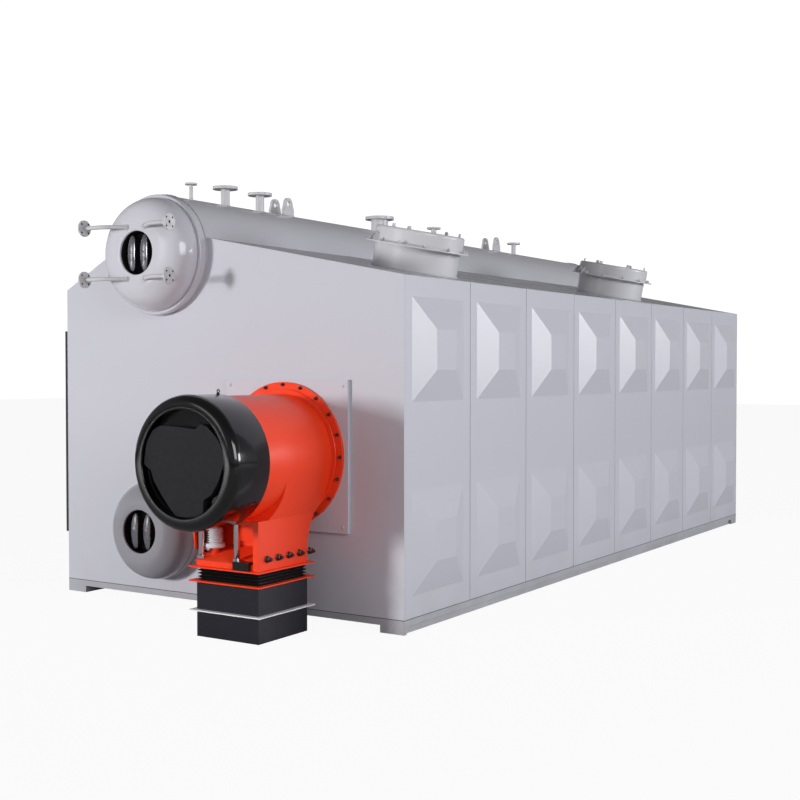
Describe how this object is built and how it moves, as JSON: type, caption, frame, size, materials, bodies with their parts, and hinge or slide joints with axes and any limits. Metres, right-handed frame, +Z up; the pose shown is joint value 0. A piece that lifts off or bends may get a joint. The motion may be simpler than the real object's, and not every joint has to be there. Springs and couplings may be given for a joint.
{
  "type": "packaged water-tube boiler",
  "caption": "Packaged two-drum water-tube steam boiler: long gabled casing with pressed side panels, drum along the top, front burner on a square air duct.",
  "frame": {"origin": "middle of the whole boiler's footprint, on the ground", "axes": "+Y from the burner end to the rear end, +X to the right seen from the burner end, +Z up"},
  "size_m": [3.97, 10.049, 3.813],
  "materials": {
    "casing": "satin light grey enamel",
    "roof": "satin grey enamel",
    "base": "satin grey enamel",
    "drum": "semi-gloss grey enamel",
    "cover": "semi-gloss grey enamel",
    "fitting": "semi-gloss pale grey enamel",
    "door": "semi-gloss pale grey enamel",
    "burner_red": "gloss orange-red enamel",
    "cap": "gloss black enamel",
    "cap_disc": "satin charcoal enamel",
    "bellows": "matt black rubber",
    "air_box": "satin charcoal enamel",
    "trim": "gloss white enamel",
    "bright": "polished",
    "block": "matt black moulding",
    "flue": "satin charcoal enamel"
  },
  "bodies": {
    "root": {"air_box_flange": "trim", "air_box_lower": "air_box", "air_box_upper": "air_box", "back_wall": "casing", "base_plate": "base", "burner_cap": "cap", "burner_cap_disc": "cap_disc", "burner_flange": "burner_red", "burner_housing": "burner_red", "burner_plate": "casing", "damper_rods": "bright", "duct_bellows": "bellows", "duct_flanges": "burner_red", "explosion_door_covers": "door", "explosion_door_curbs": "door", "flue_cover": "flue", "flue_outlet": "flue", "front_manhole_covers": "cover", "front_wall": "casing", "gauge_pipes": "fitting", "left_panels_1": "casing", "left_panels_2": "casing", "left_panels_3": "casing", "left_panels_4": "casing", "lifting_lugs": "fitting", "lower_drum_front_head": "drum", "lower_drum_rear_head": "drum", "lower_drum_shell": "drum", "rear_manhole_covers": "cover", "ribbed_hose": "bright", "right_panels_1": "casing", "right_panels_2": "casing", "right_panels_3": "casing", "right_panels_4": "casing", "roof_left": "roof", "roof_right": "roof", "safety_nozzles": "fitting", "skid_left": "base", "skid_right": "base", "small_nozzles": "fitting", "steam_nozzle": "fitting", "terminal_block": "block", "upper_drum_front_head": "drum", "upper_drum_rear_head": "drum", "upper_drum_shell": "drum"}
  },
  "joints": []
}
